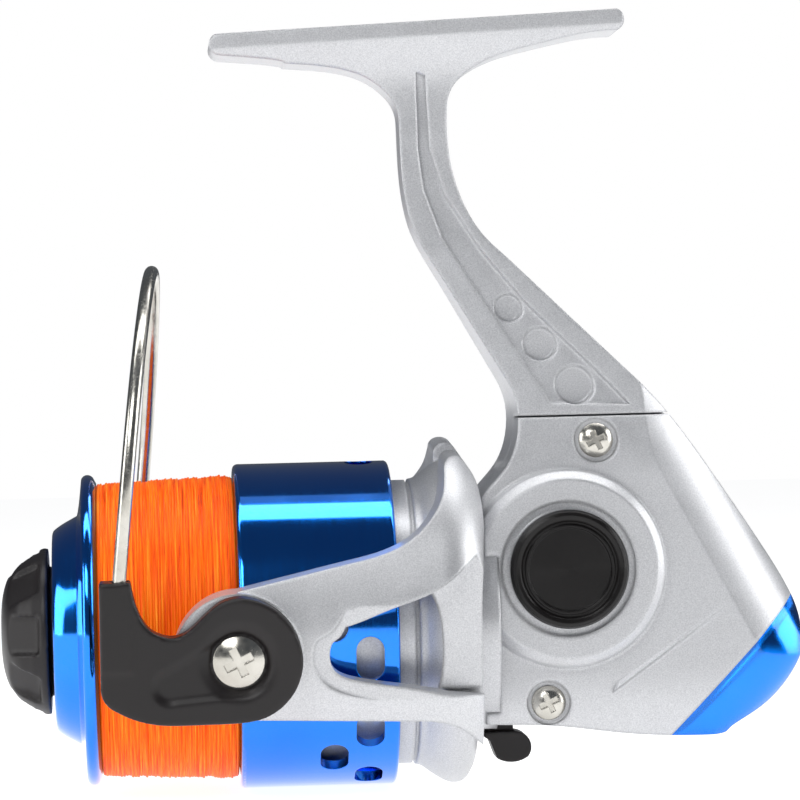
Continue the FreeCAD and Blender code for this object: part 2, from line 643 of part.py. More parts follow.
def window_tool(grow, y_low, y_high):
    """Opening through the near arm, rounded at the front and open to the rear flange."""
    start, steps = lifted((-14.0, 3.9 + grow), [
        ("curve", (1, 0.25), (0.75, 0.65), (-7.4, 6.3 + grow), (-1.4, 8.4 + grow), (3.2, 11.4 + grow)),
        ("line", (9.0, 16.4 + grow), (9.0, -7.2 - grow), (3.0, -6.6 - grow)),
        ("curve", (-1, 0.05), (-1, 0.3), (-3.6, -5.4 - grow), (-13.4, -3.6 - grow)),
        ("curve", (-1, 0.3), (0.4, 1), (-16.3 - grow, -0.8), (-15.9 - grow, 1.6), (-14.0, 3.9 + grow)),
    ])
    return side_prism(start, steps, y_low, y_high)


def near_arm():
    start, steps = lifted(*arm_outline())
    arm = side_prism(start, steps, -40, -5).common(arm_shell())
    pad = along_y(9.3, -30.4, -26.6, PIVOT_X, SPOOL_Z)
    arm = arm.fuse(pad)
    arm = arm.cut(window_tool(0, -40, -24.6))
    arm = arm.cut(window_tool(2.4, -40, -29.2))
    arm = arm.cut(ring_y(4.9, 2.4, -31, -28.4, PIVOT_X, SPOOL_Z))
    return arm.cut(along_y(1.2, -40, -20, PIVOT_X, SPOOL_Z))


def rotor():
    near = near_arm()
    cup = rotor_cup()
    shape = cup.fuse(near).fuse(mirrored_y(near))
    channel = box(-27.5, 12, -25.3, -23.6, SPOOL_Z - 8.6, SPOOL_Z - 6.2)
    return with_rotor(shape.cut(channel).removeSplitter())


def trip_lever():
    """Sliding bar under the near arm; the opened bail pushes it to the rear."""
    bar = box(-25.0, 5.0, -24.9, -24.0, SPOOL_Z - 8.2, SPOOL_Z - 6.6)
    return with_rotor(bar)


def coil_spring(radius, wire_r, pitch, half_turns):
    """Open coil about Z from z = 0, as half turns of a ring, each tilted to rise half a pitch."""
    lean = math.degrees(math.atan(pitch / 4 / radius))
    ring_r = math.hypot(radius, pitch / 4)
    coil = None
    for index in range(half_turns):
        half = Part.makeTorus(ring_r, wire_r, V(0, 0, 0), Z_AXIS, -180, 180, 180)
        half.rotate(V(0, 0, 0), Y_AXIS, lean)
        half.rotate(V(0, 0, 0), Z_AXIS, 180 * (index % 2))
        half.translate(V(0, 0, pitch / 2 * (index + 0.5)))
        coil = half if coil is None else coil.fuse(half)
    return coil


def bail_spring():
    """Torsion spring in the pocket round the near pivot."""
    spring = coil_spring(3.6, 0.3, 0.75, 4)
    spring.rotate(V(0, 0, 0), X_AXIS, 90)
    spring.translate(V(PIVOT_X, -28.75, SPOOL_Z))
    return with_rotor(spring)


# ---- bail ----
def bail_lever():
    """Black lever on the near arm, with the tower that holds the wire."""
    start, steps = lifted((-20.3, 0.0), [
        ("arc", (-22.9, -6.2), (-28.6, -8.75)),
        ("curve", (-1, -0.1), (-0.85, 0.55), (-35.6, -8.95), (-42.4, -8.55), (-47.0, -6.7)),
        ("arc", (-48.6, -5.4), (-49.2, -3.2)),
        ("line", (-49.1, 11.8), (-44.6, 11.9)),
        ("curve", (0.15, -1), (0.9, -0.3), (-43.6, 7.6), (-41.6, 4.6), (-39.3, 3.7)),
        ("curve", (1, 0.0), (0.7, 0.6), (-36.6, 4.6), (-34.0, 7.0)),
        ("curve", (0.7, 0.6), (1, 0), (-31.8, 8.6), (-28.9, 9.2)),
        ("arc", (-22.8, 6.2), (-20.3, 0.0)),
    ])
    plate = side_prism(start, steps, -34.0, -30.7)
    tower = box(-49.0, -44.6, -34.2, -30.3, SPOOL_Z - 1.0, SPOOL_Z + 11.8)
    shape = plate.fuse(tower)
    dish = Part.makeSphere(16.0, V(PIVOT_X, -48.9, SPOOL_Z))
    shape = shape.cut(dish).cut(along_y(4.1, -40, -32.95, PIVOT_X, SPOOL_Z))
    shape = shape.cut(along_y(1.26, -40, -20, PIVOT_X, SPOOL_Z))
    shape = shape.cut(wire_socket(1))
    return shape.cut(along_y(1.1, -33.2, -20, ROLLER_X, SPOOL_Z + ROLLER_Z)).removeSplitter()


def wire_frame():
    across = (WIRE_FAR - WIRE_FOOT).normalize()
    up = V(WIRE_LEAN, 0, 1)
    up = (up - across * up.dot(across)).normalize()
    return across, up


def wire_points():
    """Foot, end of the near leg, top of the arch, end of the far leg, far foot."""
    across, up = wire_frame()
    half = (WIRE_FAR - WIRE_FOOT).Length / 2
    foot = V(WIRE_FOOT.x, WIRE_FOOT.y, WIRE_FOOT.z + SPOOL_Z)
    near = foot + up * WIRE_LEG
    top = near + across * half + up * half
    far = near + across * (2 * half)
    return foot, near, top, far, far - up * WIRE_LEG


def wire_socket(side):
    foot, near, top, far, far_foot = wire_points()
    if side > 0:
        return Part.makeCylinder(WIRE_R, 20, foot, near - foot)
    return Part.makeCylinder(WIRE_R, 20, far_foot, far - far_foot)


def bail_wire():
    foot, near, top, far, far_foot = wire_points()
    path = Part.Wire([Part.LineSegment(foot, near).toShape(), Part.Arc(near, top, far).toShape(),
                      Part.LineSegment(far, far_foot).toShape()])
    section = Part.Wire(Part.makeCircle(WIRE_R, foot, near - foot))
    return with_rotor(path.makePipeShell([section], True, False))


def bail_holder_far():
    start, steps = lifted((-21.8, 0.0), [
        ("arc", (-29.5, -7.7), (-37.0, -2.5)),
        ("line", (-45.3, -2.5)),
        ("line", (-46.4, 2.0), (-46.0, 11.0), (-41.6, 11.0), (-41.0, 5.6), (-35.2, 5.2)),
        ("arc", (-29.5, 7.7), (-21.8, 0.0)),
    ])
    plate = side_prism(start, steps, 30.7, 34.0)
    shape = plate.cut(along_y(1.26, 20, 40, PIVOT_X, SPOOL_Z))
    return with_rotor(shape.cut(wire_socket(-1)).removeSplitter())


def bail_screw(side):
    seat = V(PIVOT_X, -33.0 if side < 0 else 34.05, SPOOL_Z)
    return with_rotor(pan_screw(seat, V(0, side, 0), 3.7, 1.5, 1.2, 8.0))


def line_roller():
    profile = [(-30.0, 1.7), (-30.0, 3.0), (-29.4, 3.0), (-28.6, 2.4), (-27.2, 2.4), (-26.4, 3.0),
               (-25.9, 3.0), (-25.9, 1.7)]
    return with_rotor(revolved_y(profile, ROLLER_X, SPOOL_Z + ROLLER_Z))


def roller_screw():
    """Screw and sleeve that carry the line roller on the bail lever."""
    x = ROLLER_X
    z = SPOOL_Z + ROLLER_Z
    shape = along_y(1.1, -33.2, -25.0, x, z).fuse(along_y(1.65, -30.65, -25.5, x, z))
    return with_rotor(shape.fuse(along_y(2.4, -25.7, -24.9, x, z)).removeSplitter())


# ---- spool and drag ----
def spool():
    shape = revolved_x((-56.3, 10.4), [
        ("line", (-56.3, 14.4)),
        ("curve", (-0.1, 1), (1, 0.55), (-55.7, 15.4), (-52.6, 17.2)),
        ("curve", (0.3, 1), (0.1, 1), (-52.1, 20.0), (-51.8, 22.7)),
        ("arc", (-50.9, 23.3), (-50.0, 22.8)),
        ("line", (-49.6, 22.0), (-49.6, 14.0), (-29.1, 14.0), (-29.1, 23.5)),
        ("arc", (-28.9, 24.1), (-28.3, SKIRT_R)),
        ("line", (-6.5, SKIRT_R)),
        ("arc", (-6.0, 24.2), (-5.8, 23.8)),
        ("line", (-5.8, SKIRT_IN_R), (-26.9, SKIRT_IN_R), (-26.9, 12.4), (-45.0, 12.4), (-45.0, 5.5),
         (-30.0, 5.0), (-30.0, SHAFT_R + 0.06), (-46.6, SHAFT_R + 0.06), (-46.6, 10.4)),
    ])
    for start in (0, 180):
        for index in range(HOLES_PER_GROUP):
            shape = shape.cut(skirt_slot(start + HOLE_FIRST + HOLE_STEP * index, HOLE_REAR_X))
        for index in (0, 2):
            shape = shape.cut(skirt_slot(start + HOLE_FIRST + HOLE_STEP * (index + 0.5), HOLE_FRONT_X))
    return shape


def skirt_slot(degrees, x):
    """Oval hole through the skirt, long way round it."""
    outline = wire_through((-1.2, -HOLE_R), [
        ("line", (1.2, -HOLE_R)), ("arc", (1.2 + HOLE_R, 0), (1.2, HOLE_R)),
        ("line", (-1.2, HOLE_R)), ("arc", (-1.2 - HOLE_R, 0), (-1.2, -HOLE_R))],
        lambda point: V(x + point[1], -20.0, SPOOL_Z + point[0]))
    slot = Part.Face(outline).extrude(V(0, -6.0, 0))
    return about_spool(slot, degrees)


def line_winding():
    return revolved_x((-49.55, 14.05), [
        ("line", (-49.55, 21.7)),
        ("curve", (0.2, 1), (1, 0.05), (-49.2, 22.05), (-48.4, 22.15)),
        ("line", (-30.4, 22.9)),
        ("curve", (1, 0), (0.2, -1), (-29.6, 22.7), (-29.2, 22.2)),
        ("line", (-29.2, 14.05)),
    ])


def clicker():
    """Toothed click wheel behind the spool hub."""
    points = []
    count = 24
    for index in range(count):
        for radius, share in ((5.2, 0.0), (6.2, 0.25), (6.2, 0.5), (5.2, 0.75)):
            angle = 2 * math.pi * (index + share) / count
            points.append(V(-29.9, radius * math.cos(angle), SPOOL_Z + radius * math.sin(angle)))
    wheel = Part.Face(Part.makePolygon(points + [points[0]])).extrude(V(1.4, 0, 0))
    return wheel.cut(along_x(SHAFT_R + 0.06, -40, -20))


def spool_seat():
    """Washer and cross pin on the main shaft that the spool rests on."""
    washer = ring_x(4.4, SHAFT_R, -28.3, -27.0)
    pin = cylinder(0.9, V(-26.1, -4.0, SPOOL_Z), Y_AXIS, 8.0)
    pin = pin.cut(along_x(SHAFT_R, -40, -20))
    return washer.fuse(ring_x(3.2, SHAFT_R, -27.1, -24.8)).fuse(pin).removeSplitter()


def washer_group(spans, outer, inner):
    return Part.makeCompound([ring_x(outer, inner, low, high) for low, high in spans])


def drag_nut():
    points = [V(-55.6, 3.6 * math.cos(math.radians(60 * k)), SPOOL_Z + 3.6 * math.sin(math.radians(60 * k)))
              for k in range(6)]
    nut = Part.Face(Part.makePolygon(points + [points[0]])).extrude(V(2.4, 0, 0))
    return nut.cut(along_x(SHAFT_R + 0.05, -60, -40))


def drag_spring():
    spring = coil_spring(5.6, 0.35, 1.1, 4)
    spring.rotate(V(0, 0, 0), Y_AXIS, 90)
    spring.translate(V(-54.4, 0, SPOOL_Z))
    return spring


def drag_knob():
    """Domed knob with panel recesses for the fingers, hollow inside for the nut and spring."""
    shape = revolved_x((-64.2, 0.0), [
        ("line", (-64.2, 3.4)),
        ("curve", (0.05, 1), (0.8, 0.6), (-63.7, 6.6), (-62.9, 8.6), (-61.4, 10.5), (-59.4, 11.8)),
        ("line", (-57.6, 12.5), (-57.0, 12.4), (-57.0, 9.6), (-54.9, 9.6), (-54.9, 8.2), (-60.0, 8.2),
         (-60.0, 0.0)),
    ])
    floor = [V(-63.4, -2.9, 8.0), V(-58.4, -2.9, 11.2), V(-58.4, -2.9, 16.0), V(-63.4, -2.9, 16.0)]
    recess = Part.Face(Part.makePolygon(floor + [floor[0]])).extrude(V(0, 5.8, 0))
    recess.translate(V(0, 0, SPOOL_Z))
    for index in range(KNOB_PANELS):
        shape = shape.cut(about_spool(recess, 90 + 360.0 * index / KNOB_PANELS))
    return shape


def drag_clip():
    """Wire clip that keeps the nut inside the knob."""
    return ring_x(8.2, 7.2, -55.5, -54.9)


# ---- handle ----
def socket_cap():
    """Black screw cap with rings; its stem screws into the end of the handle shaft."""
    cap = revolved_y([(-13.1, 0), (-13.1, 5.0), (-14.2, 5.0), (-14.2, 8.8), (-15.5, 8.8), (-16.1, 8.5),
                      (-16.4, 8.0), (-16.3, 7.4), (-15.9, 7.0), (-15.9, 6.7), (-16.2, 6.6), (-16.2, 6.2),
                      (-15.8, 6.1), (-15.8, 0)])
    stem = along_y(1.2, -13.2, -7.0)
    return cap.fuse(stem)


def handle_shaft():
    hexagon = [(CRANK_X + 2.26 * math.cos(math.radians(60 * k)),
                CRANK_Z + 2.26 * math.sin(math.radians(60 * k))) for k in range(6)]
    core = polygon_prism(hexagon, -12.0, 14.0)
    sleeve = revolved_y([(13.0, 0), (13.0, 3.2), (14.3, 3.2), (14.3, 7.6), (16.4, 7.6), (17.6, 5.2),
                         (34.5, 4.4), (34.5, 0)])
    shape = core.fuse(sleeve)
    return shape.cut(along_y(1.2, -20, -6.9))


def handle_arm():
    """Flat arm from the shaft to the knob, leaning forward."""
    end_x = CRANK_X - HANDLE_LENGTH
    end_z = CRANK_Z - 4.0
    outline = ((CRANK_X, CRANK_Z + 6.0), [
        ("curve", (-1, 0.0), (-1, -0.1), (CRANK_X - 9, CRANK_Z + 4.6), (CRANK_X - 22, CRANK_Z + 2.4),
         (end_x, end_z + 4.6)),
        ("arc", (end_x - 4.6, end_z), (end_x, end_z - 4.6)),
        ("curve", (1, 0.05), (1, 0.0), (CRANK_X - 22, CRANK_Z - 6.4), (CRANK_X - 9, CRANK_Z - 6.4),
         (CRANK_X, CRANK_Z - 6.0)),
        ("arc", (CRANK_X + 6.0, CRANK_Z), (CRANK_X, CRANK_Z + 6.0)),
    ])
    arm = side_prism(outline[0], outline[1], HANDLE_Y - 2.0, HANDLE_Y + 2.0)
    hub = revolved_y([(34.5, 0), (34.5, 5.6), (35.9, 6.6), (43.5, 6.6), (44.5, 5.4), (44.5, 0)])
    arm = arm.fuse(hub)
    return arm.cut(along_y(1.6, 30, 50, end_x, end_z)).removeSplitter()


def knob_spindle():
    end_x = CRANK_X - HANDLE_LENGTH
    end_z = CRANK_Z - 4.0
    shape = along_y(1.6, HANDLE_Y - 2.6, KNOB_Y + 22.4, end_x, end_z)
    head = along_y(3.0, HANDLE_Y - 3.4, HANDLE_Y - 2.0, end_x, end_z)
    tip = along_y(2.6, KNOB_Y + 21.1, KNOB_Y + 22.4, end_x, end_z)
    washer = along_y(3.4, HANDLE_Y + 2.0, HANDLE_Y + 3.0, end_x, end_z)
    return shape.fuse(head).fuse(tip).fuse(washer).removeSplitter()


def handle_knob():
    """Rounded grip that turns on its spindle."""
    end_x = CRANK_X - HANDLE_LENGTH
    end_z = CRANK_Z - 4.0
    wire = wire_through((0, 1.65), [
        ("line", (0, 4.6)),
        ("curve", (0.2, 1), (1, 0.1), (1.2, 5.4), (4.8, 6.0)),
        ("curve", (1, 0.1), (1, 0.0), (10.8, 8.0), (17.2, 10.0)),
        ("curve", (1, 0.0), (0, -1), (21.4, 9.4), (23.2, 6.6)),
        ("line", (23.2, 5.0), (21.0, 5.0), (21.0, 1.65)),
    ], lambda p: V(end_x + p[1], KNOB_Y + p[0], end_z))
    knob = Part.Face(wire).revolve(V(end_x, 0, end_z), Y_AXIS, 360)
    for index in range(8):
        angle = math.radians(45 * index)
        start = V(end_x + 10.9 * math.cos(angle), KNOB_Y + 7.5, end_z + 10.9 * math.sin(angle))
        knob = knob.cut(Part.makeCylinder(1.4, 14, start, Y_AXIS))
    return knob


def knob_cap():
    end_x = CRANK_X - HANDLE_LENGTH
    end_z = CRANK_Z - 4.0
    low = KNOB_Y + 22.6
    profile = [(low, 0), (low, 4.98), (low + 0.8, 4.9), (low + 1.5, 3.6), (low + 1.8, 0)]
    return revolved_y(profile, end_x, end_z)


def all_parts():
    frame, cover, cap = gearbox_parts()
    metal_spans = ((-48.5, -47.7), (-50.5, -49.7))
    felt_spans = ((-47.7, -46.6), (-49.7, -48.5), (-51.6, -50.5))
    return {
        "body_frame": frame,
        "side_cover": cover,
        "rear_cap": cap_with_pocket(cap),
        "cover_screws": cover_screw_group(),
        "rear_cap_screw": pan_screw(V(39.5, 0, -106.3), V(0, 0, -1), 2.0, 1.1, 0.9, 8.0),
        "drive_gear": drive_gear(),
        "gear_bush_cover": gear_bush(-1),
        "gear_bush_body": gear_bush(1),
        "pinion": pinion(),
        "pinion_bearing": pinion_bearing(),
        "oscillation_gear": oscillation_gear(),
        "slider": slider(),
        "slider_rod": along_x(1.2, 5.2, 44.0, 0, ROD_Z),
        "slider_screw": slider_screw(),
        "main_shaft": main_shaft(),
        "rotor": rotor(),
        "rotor_nut": rotor_nut(),
        "ratchet_wheel": ratchet(),
        "anti_reverse_lever": anti_reverse_lever(),
        "anti_reverse_pawl": anti_reverse_pawl(),
        "trip_lever": trip_lever(),
        "bail_spring": bail_spring(),
        "bail_lever": with_rotor(bail_lever()),
        "bail_wire": bail_wire(),
        "bail_holder_far": bail_holder_far(),
        "bail_screw_near": bail_screw(-1),
        "bail_screw_far": bail_screw(1),
        "line_roller": line_roller(),
        "roller_screw": roller_screw(),
        "spool": spool(),
        "line_winding": line_winding(),
        "click_wheel": clicker(),
        "spool_seat": spool_seat(),
        "drag_metal_washers": washer_group(metal_spans, 10.0, SHAFT_R + 0.1),
        "drag_felt_washers": washer_group(felt_spans, 10.0, SHAFT_R + 0.4),
        "drag_retaining_ring": ring_x(10.4, 8.9, -52.2, -51.6),
        "drag_nut": drag_nut(),
        "drag_spring": drag_spring(),
        "drag_knob": drag_knob(),
        "drag_clip": drag_clip(),
        "socket_cap": socket_cap(),
        "handle_shaft": handle_shaft(),
        "handle_arm": handle_arm(),
        "knob_spindle": knob_spindle(),
        "handle_knob": handle_knob(),
        "knob_cap": knob_cap(),
    }


def main():
    os.makedirs("parts", exist_ok=True)
    for name, shape in all_parts().items():
        shape.exportStep("parts/" + name + ".step")
        print(name, len(shape.Solids), round(shape.Volume, 1))


if __name__ == "__main__":
    main()
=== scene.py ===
import json
import math
import random

import bpy
from mathutils import Matrix, Vector


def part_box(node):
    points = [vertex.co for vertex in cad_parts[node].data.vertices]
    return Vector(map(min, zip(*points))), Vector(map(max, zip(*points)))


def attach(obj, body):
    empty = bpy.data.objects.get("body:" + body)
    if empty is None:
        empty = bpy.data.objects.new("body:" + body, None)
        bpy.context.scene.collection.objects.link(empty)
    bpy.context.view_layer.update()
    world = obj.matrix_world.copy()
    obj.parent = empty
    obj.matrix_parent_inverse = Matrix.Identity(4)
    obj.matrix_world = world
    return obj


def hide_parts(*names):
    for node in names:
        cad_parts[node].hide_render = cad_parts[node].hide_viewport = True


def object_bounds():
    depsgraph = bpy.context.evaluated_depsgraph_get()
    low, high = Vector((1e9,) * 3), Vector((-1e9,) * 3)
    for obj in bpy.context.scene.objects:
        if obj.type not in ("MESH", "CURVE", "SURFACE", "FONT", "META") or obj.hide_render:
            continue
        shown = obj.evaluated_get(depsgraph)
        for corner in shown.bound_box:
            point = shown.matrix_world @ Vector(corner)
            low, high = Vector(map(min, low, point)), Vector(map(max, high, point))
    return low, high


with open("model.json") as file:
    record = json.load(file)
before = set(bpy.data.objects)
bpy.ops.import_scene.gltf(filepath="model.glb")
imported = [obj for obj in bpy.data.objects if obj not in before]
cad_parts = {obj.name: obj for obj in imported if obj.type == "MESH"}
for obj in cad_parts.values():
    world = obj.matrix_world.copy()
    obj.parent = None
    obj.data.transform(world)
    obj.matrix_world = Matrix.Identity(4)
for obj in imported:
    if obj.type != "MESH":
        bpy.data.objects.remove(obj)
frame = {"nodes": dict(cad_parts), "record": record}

# Looks of the fixed-spool fishing reel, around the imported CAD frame. Metres.

cad_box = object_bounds()
nodes = frame["nodes"]

# ---- driving sizes, read from the frame ----
SPOOL_LOW, SPOOL_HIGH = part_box("spool")
SPOOL_AXIS_Z = (SPOOL_LOW.z + SPOOL_HIGH.z) / 2
OBJECT_LOW = Vector(cad_box[0])


# ---- material helpers ----
class Graph:
    """Small helper to build a shader node tree."""

    def __init__(self, name):
        self.material = bpy.data.materials.new(name)
        self.material.use_nodes = True
        self.tree = self.material.node_tree
        self.shader = self.tree.nodes["Principled BSDF"]
        self.place = self.tree.nodes.new("ShaderNodeTexCoord").outputs["Object"]

    def add(self, kind, **values):
        node = self.tree.nodes.new(kind)
        for key, value in values.items():
            if key in node.inputs:
                node.inputs[key].default_value = value
            else:
                setattr(node, key, value)
        return node

    def link(self, source, target):
        self.tree.links.new(source, target)

    def noise(self, scale, detail=3.0, roughness=0.5, stretch=(1, 1, 1)):
        mapping = self.add("ShaderNodeMapping")
        mapping.inputs["Scale"].default_value = stretch
        self.link(self.place, mapping.inputs["Vector"])
        noise = self.add("ShaderNodeTexNoise", Scale=scale, Detail=detail, Roughness=roughness)
        self.link(mapping.outputs["Vector"], noise.inputs["Vector"])
        return noise.outputs["Fac"]

    def rings(self, centre, axis, scale, distortion):
        """Fine turning marks about a line through centre; axis is the letter of its direction."""
        mapping = self.add("ShaderNodeMapping")
        mapping.inputs["Location"].default_value = [-value for value in centre]
        self.link(self.place, mapping.inputs["Vector"])
        wave = self.add("ShaderNodeTexWave", wave_type="RINGS", rings_direction=axis, Scale=scale,
                        Distortion=distortion, Detail=2.0)
        self.link(mapping.outputs["Vector"], wave.inputs["Vector"])
        return wave.outputs["Fac"]

    def ramp(self, source, stops):
        ramp = self.add("ShaderNodeValToRGB")
        elements = ramp.color_ramp.elements
        while len(elements) < len(stops):
            elements.new(0.5)
        for element, (position, color) in zip(elements, stops):
            element.position = position
            element.color = (*color, 1.0)
        self.link(source, ramp.inputs["Fac"])
        return ramp.outputs["Color"]

    def color(self, source, stops):
        self.link(self.ramp(source, stops), self.shader.inputs["Base Color"])

    def roughness(self, source, low, high):
        shades = self.ramp(source, [(0.3, grey(low)), (0.7, grey(high))])
        self.link(shades, self.shader.inputs["Roughness"])

    def relief(self, source, strength, distance, edge=0.0):
        """Bump from a texture; edge rounds the sharp edges by that radius."""
        bump = self.add("ShaderNodeBump", Strength=strength, Distance=distance)
        self.link(source, bump.inputs["Height"])
        if edge:
            bevel = self.add("ShaderNodeBevel", Radius=edge, samples=4)
            self.link(bevel.outputs["Normal"], bump.inputs["Normal"])
        self.link(bump.outputs["Normal"], self.shader.inputs["Normal"])

    def set(self, **values):
        for key, value in values.items():
            self.shader.inputs[key.replace("_", " ")].default_value = value


def grey(value):
    return (value, value, value)


def silver_paint():
    """Metallic paint: fine flake sparkle under a thin clear coat."""
    g = Graph("silver_paint")
    flakes = g.noise(5200, detail=2.0, roughness=0.6)
    cloud = g.noise(240)
    g.color(flakes, [(0.30, (0.50, 0.505, 0.525)), (0.70, (0.70, 0.705, 0.72))])
    g.roughness(cloud, 0.36, 0.44)
    g.set(Metallic=0.62, Coat_Weight=0.25, Coat_Roughness=0.22)
    g.relief(flakes, strength=0.30, distance=0.00002, edge=0.0008)
    return g.material


def blue_chrome(name, edge):
    """Deep blue anodised metal, almost a mirror, with faint turning marks."""
    g = Graph(name)
    lines = g.noise(900, detail=2.0, stretch=(6, 0.2, 0.2))
    tint = g.noise(60, detail=2.0)
    g.color(tint, [(0.3, (0.0, 0.205, 0.90)), (0.7, (0.002, 0.235, 0.96))])
    g.roughness(lines, 0.07, 0.13)
    g.set(Metallic=1.0, Coat_Weight=0.8, Coat_Roughness=0.05)
    g.relief(lines, strength=0.05, distance=0.00002, edge=edge)
    return g.material


def black_plastic():
    """Moulded black plastic with a fine spark-eroded grain."""
    g = Graph("black_plastic")
    grain = g.noise(3600, roughness=0.6)
    wear = g.noise(90, detail=4.0)
    g.color(wear, [(0.3, (0.0085, 0.0068, 0.0070)), (0.75, (0.0150, 0.0125, 0.0130))])
    g.roughness(wear, 0.34, 0.46)
    g.set(Specular_IOR_Level=0.38)
    g.relief(grain, strength=0.22, distance=0.00003, edge=0.0004)
    return g.material


def soft_black():
    """Soft-touch rubber of the handle knob."""
    g = Graph("soft_black")
    grain = g.noise(1800, detail=4.0, roughness=0.7)
    g.color(grain, [(0.3, (0.012, 0.012, 0.012)), (0.7, (0.022, 0.022, 0.022))])
    g.set(Roughness=0.72, Sheen_Weight=0.12, Sheen_Roughness=0.5)
    g.relief(grain, strength=0.35, distance=0.00006, edge=0.0005)
    return g.material


def metal(name, low, high, rough_low, rough_high):
    """Turned or drawn metal with fine streaks."""
    g = Graph(name)
    streaks = g.noise(1400, roughness=0.6)
    patches = g.noise(260)
    g.color(patches, [(0.3, low), (0.7, high)])
    g.roughness(streaks, rough_low, rough_high)
    g.set(Metallic=1.0)
    g.relief(streaks, strength=0.08, distance=0.00002, edge=0.00015)
    return g.material


def white_nylon():
    """Pale, slightly translucent nylon."""
    g = Graph("white_nylon")
    cloud = g.noise(300)
    g.color(cloud, [(0.3, (0.78, 0.77, 0.72)), (0.7, (0.86, 0.85, 0.81))])
    g.set(Roughness=0.4, Subsurface_Weight=0.1)
    g.relief(cloud, strength=0.1, distance=0.00003, edge=0.0003)
    return g.material


def felt():
    """Matt grey-brown felt of the drag washers."""
    g = Graph("felt")
    fibre = g.noise(2400, detail=5.0, roughness=0.8)
    g.color(fibre, [(0.3, (0.22, 0.20, 0.18)), (0.7, (0.42, 0.40, 0.36))])
    g.set(Roughness=0.95, Sheen_Weight=0.4)
    g.relief(fibre, strength=0.8, distance=0.0001)
    return g.material


def nylon_line():
    """Fluorescent orange monofilament: fine strands side by side; the deep red between them is
    painted shade, the yellow along their tops is painted highlight, and the line has a faint
    painted glow.
    """
    g = Graph("nylon_line")
    strands = g.noise(300, detail=5.0, roughness=0.75, stretch=(13, 0.22, 0.22))
    # Colour follows the strand height: the deep red low stop is painted shade in the grooves and
    # the yellow top stop is a painted highlight; the orange between them is the line's own colour.
    g.color(strands, [(0.34, (0.42, 0.010, 0.001)), (0.45, (0.95, 0.095, 0.002)),
                      (0.56, (1.0, 0.20, 0.004)), (0.72, (1.0, 0.46, 0.04))])
    g.set(Roughness=0.42, Specular_IOR_Level=0.15)
    # Painted glow: the emission makes the line brighter than the lamps can light it, though the
    # line is no lamp.
    g.set(Emission_Color=(1.0, 0.12, 0.0, 1.0), Emission_Strength=0.22)
    g.relief(strands, strength=0.55, distance=0.0002)
    return g.material


def cap_black():
    """Black cap with fine turning marks about the crank axis."""
    g = Graph("cap_black")
    low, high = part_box("socket_cap")
    middle = (low + high) / 2
    rings = g.rings((middle.x, 0.0, middle.z), "Y", scale=2600, distortion=1.5)
    wear = g.noise(140, detail=4.0)
    g.color(wear, [(0.3, (0.0035, 0.0028, 0.0028)), (0.75, (0.0070, 0.0058, 0.0058))])
    g.roughness(rings, 0.16, 0.28)
    g.set(Specular_IOR_Level=0.32)
    g.relief(rings, strength=0.22, distance=0.00003, edge=0.0003)
    return g.material


MATERIALS = {
    "silver_paint": silver_paint(),
    "blue_chrome": blue_chrome("blue_chrome", edge=0.00025),
    "cap_blue": blue_chrome("cap_blue", edge=0.0025),
    "black_plastic": black_plastic(),
    "soft_black": soft_black(),
    "steel": metal("steel", grey(0.42), grey(0.56), 0.22, 0.38),
    "bright_steel": metal("bright_steel", (0.50, 0.48, 0.43), (0.64, 0.62, 0.57), 0.16, 0.28),
    "brass": metal("brass", (0.62, 0.42, 0.16), (0.74, 0.54, 0.24), 0.2, 0.34),
    "zinc": metal("zinc", grey(0.48), grey(0.60), 0.34, 0.5),
    "white_nylon": white_nylon(),
    "felt": felt(),
    "nylon_line": nylon_line(),
    "cap_black": cap_black(),
}


def paint(piece, slot_name):
    piece.data.materials.clear()
    piece.data.materials.append(MATERIALS[slot_name])


def paint_frame():
    """Gives every carried-over CAD node the material of its slot."""
    for entry in frame["record"]["subparts"]:
        paint(nodes[entry["node"]], entry["material_slot"])


paint_frame()
paint(nodes["socket_cap"], "cap_black")
paint(nodes["rear_cap"], "cap_blue")


# ---- moulded pieces with soft edges, in place of their sharp CAD nodes ----
SMOOTH_FACTOR = 0.5


def soft_copy(node, name, body, slot_name, voxel, passes):
    """Copy of a node's mesh, remeshed finely and smoothed, so that its edges are rounded."""
    piece = bpy.data.objects.new(name, nodes[node].data.copy())
    bpy.context.scene.collection.objects.link(piece)
    remesh = piece.modifiers.new("remesh", "REMESH")
    remesh.mode = "VOXEL"
    remesh.voxel_size = voxel
    smooth = piece.modifiers.new("smooth", "SMOOTH")
    smooth.factor = SMOOTH_FACTOR
    smooth.iterations = passes
    depsgraph = bpy.context.evaluated_depsgraph_get()
    mesh = bpy.data.meshes.new_from_object(piece.evaluated_get(depsgraph))
    piece.modifiers.clear()
    piece.data = mesh
    mesh.polygons.foreach_set("use_smooth", [True] * len(mesh.polygons))
    paint(piece, slot_name)
    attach(piece, body)
    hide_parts(node)
    return piece


DISH_END = Vector((-0.0098, -0.0030))      # far end of the dish, from the screw's centre
DISH_RADII = (0.0045, 0.0023)
DISH_DEPTH = 0.00055
DISH_SLOPE = 0.0007       # width of the soft rim
FACE_FACING = 0.5         # least cosine between a face point's normal and the outward axis
FACE_BAND = 0.0011        # points this near the outermost one belong to the outer face


def dish_depth(x, up):
    """Depth of the drop-shaped dish at a point measured from the screw's centre."""
    point = Vector((x, up))
    share = min(max(point.dot(DISH_END) / DISH_END.length_squared, 0.0), 1.0)
    radius = DISH_RADII[0] + (DISH_RADII[1] - DISH_RADII[0]) * share
    inside = (radius - (point - DISH_END * share).length) / DISH_SLOPE
    inside = min(max(inside * 0.5 + 0.5, 0.0), 1.0)
    return DISH_DEPTH * inside * inside * (3 - 2 * inside)


